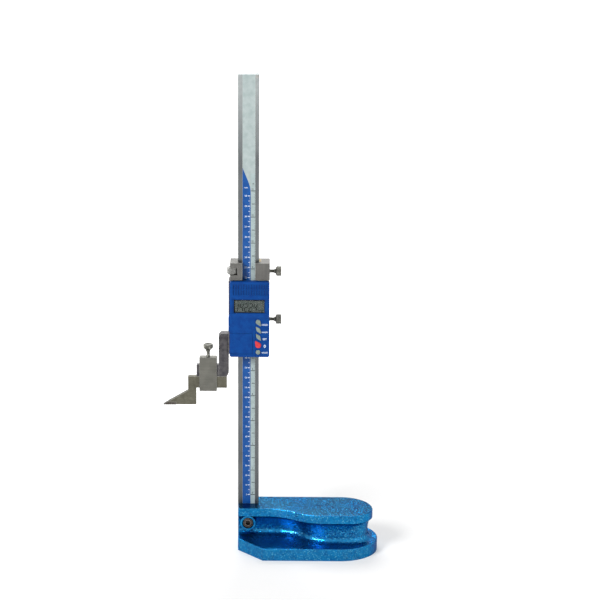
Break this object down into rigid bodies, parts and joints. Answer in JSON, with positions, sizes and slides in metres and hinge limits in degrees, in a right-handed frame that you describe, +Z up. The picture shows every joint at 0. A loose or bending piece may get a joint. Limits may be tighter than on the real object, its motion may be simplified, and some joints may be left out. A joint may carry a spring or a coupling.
{
  "type": "height gauge",
  "caption": "Digital height gauge: a sliding display unit with a clamped scriber and fine adjustment on a steel column in a cast base.",
  "frame": {"origin": "on the table, on the sole of the base below the axis of the column", "axes": "+X right from the scriber's side to the round end of the base, +Y away from the user, +Z up along the column"},
  "size_m": [0.2083, 0.0716, 0.4663],
  "materials": {
    "base_paint": "blue hammered enamel on cast iron",
    "column_steel": "ground stainless steel",
    "strip_print": "printed scale strip",
    "black_steel": "blackened screw steel",
    "slider_steel": "ground hardened steel",
    "jaw_steel": "satin hardened steel",
    "bright_steel": "bright machined steel",
    "knurl_steel": "knurled steel",
    "carbide": "ground carbide",
    "brass": "ground brass",
    "housing_plastic": "fine textured blue plastic",
    "lens_clear": "clear window",
    "lcd": "grey liquid crystal panel",
    "rubber_dark": "silicone rubber",
    "board_green": "glass fibre circuit board",
    "chip_black": "moulded chip",
    "cell_steel": "nickel plated",
    "contact_metal": "gold plated spring bronze",
    "key_pale": "pale silicone key",
    "key_red": "red silicone key"
  },
  "bodies": {
    "stand": {"base": "base_paint", "beam": "column_steel", "beam_clamp_screw": "black_steel", "beam_stop_screw": "bright_steel", "scale_strip": "strip_print"},
    "carriage": {"carriage": "slider_steel", "carriage_gib": "brass"},
    "carriage_screw": {"carriage_clamp_screw": "knurl_steel"},
    "adjust_nut": {"fine_adjust_nut": "bright_steel"},
    "slider": {"slider_frame": "jaw_steel", "slider_gib": "brass", "gib_screws": "black_steel", "rear_plate": "slider_steel", "body_screws": "bright_steel", "fine_adjust_rod": "bright_steel", "display_housing": "housing_plastic", "display_lens": "lens_clear", "lcd_module": "lcd", "contact_strips": "rubber_dark", "circuit_board": "board_green", "reading_head": "board_green", "control_chip": "chip_black", "battery": "cell_steel", "battery_contact_minus": "contact_metal", "battery_contact_plus": "contact_metal", "key_mat": "rubber_dark"},
    "lock_screw": {"slider_lock_screw": "knurl_steel"},
    "scriber_clamp": {"scriber_clamp": "slider_steel"},
    "clamp_screw": {"scriber_clamp_screw": "knurl_steel"},
    "scriber": {"scriber": "jaw_steel", "scriber_tip": "carbide"},
    "battery_cover": {"battery_cover": "housing_plastic"},
    "key_hold": {"key_hold": "key_pale"},
    "key_mm_inch": {"key_mm_inch": "key_pale"},
    "key_set": {"key_set": "key_pale"},
    "key_zero": {"key_zero": "key_red"},
    "key_power": {"key_power": "key_pale"}
  },
  "joints": [
    {"name": "carriage_slide", "type": "slide", "parent": "stand", "child": "carriage", "axis": [0, 0, 1], "range_m": [-0.137, 0.1577]},
    {"name": "fine_slide", "type": "slide", "parent": "carriage", "child": "slider", "axis": [0, 0, 1], "range_m": [-0.005, 0.0008]},
    {"name": "adjust_nut_turn", "type": "hinge", "parent": "carriage", "child": "adjust_nut", "pos_m": [-0.0158, -0.0048, 0.27729], "axis": [0, 0, 1], "range_deg": [-642, 4003]},
    {"name": "carriage_screw_turn", "type": "hinge", "parent": "carriage", "child": "carriage_screw", "pos_m": [0.0203, 0, 0.27579], "axis": [1, 0, 0], "range_deg": [0, 360]},
    {"name": "lock_screw_turn", "type": "hinge", "parent": "slider", "child": "lock_screw", "pos_m": [0.0196, 0, 0.22809], "axis": [1, 0, 0], "range_deg": [0, 360]},
    {"name": "scriber_clamp_slide", "type": "slide", "parent": "slider", "child": "scriber_clamp", "axis": [1, 0, 0], "range_m": [-0.0025, 0.0015]},
    {"name": "clamp_screw_turn", "type": "hinge", "parent": "scriber_clamp", "child": "clamp_screw", "pos_m": [-0.03875, -0.0015, 0.18289], "axis": [0, 0, 1], "range_deg": [0, 720]},
    {"name": "scriber_slide", "type": "slide", "parent": "slider", "child": "scriber", "axis": [1, 0, 0], "range_m": [-0.012, 0]},
    {"name": "battery_cover_slide", "type": "slide", "parent": "slider", "child": "battery_cover", "axis": [-1, 0, 0], "range_m": [0, 0.024]},
    {"name": "key_hold_press", "type": "slide", "parent": "slider", "child": "key_hold", "axis": [0, 1, 0], "range_m": [0, 0.0006], "stiffness_N_per_m": 900},
    {"name": "key_mm_inch_press", "type": "slide", "parent": "slider", "child": "key_mm_inch", "axis": [0, 1, 0], "range_m": [0, 0.0006], "stiffness_N_per_m": 900},
    {"name": "key_set_press", "type": "slide", "parent": "slider", "child": "key_set", "axis": [0, 1, 0], "range_m": [0, 0.0006], "stiffness_N_per_m": 900},
    {"name": "key_zero_press", "type": "slide", "parent": "slider", "child": "key_zero", "axis": [0, 1, 0], "range_m": [0, 0.0006], "stiffness_N_per_m": 900},
    {"name": "key_power_press", "type": "slide", "parent": "slider", "child": "key_power", "axis": [0, 1, 0], "range_m": [0, 0.0006], "stiffness_N_per_m": 900}
  ],
  "couplings": [
    {"joint": "adjust_nut_turn", "follows": "fine_slide", "rad_per_m": -13963}
  ]
}
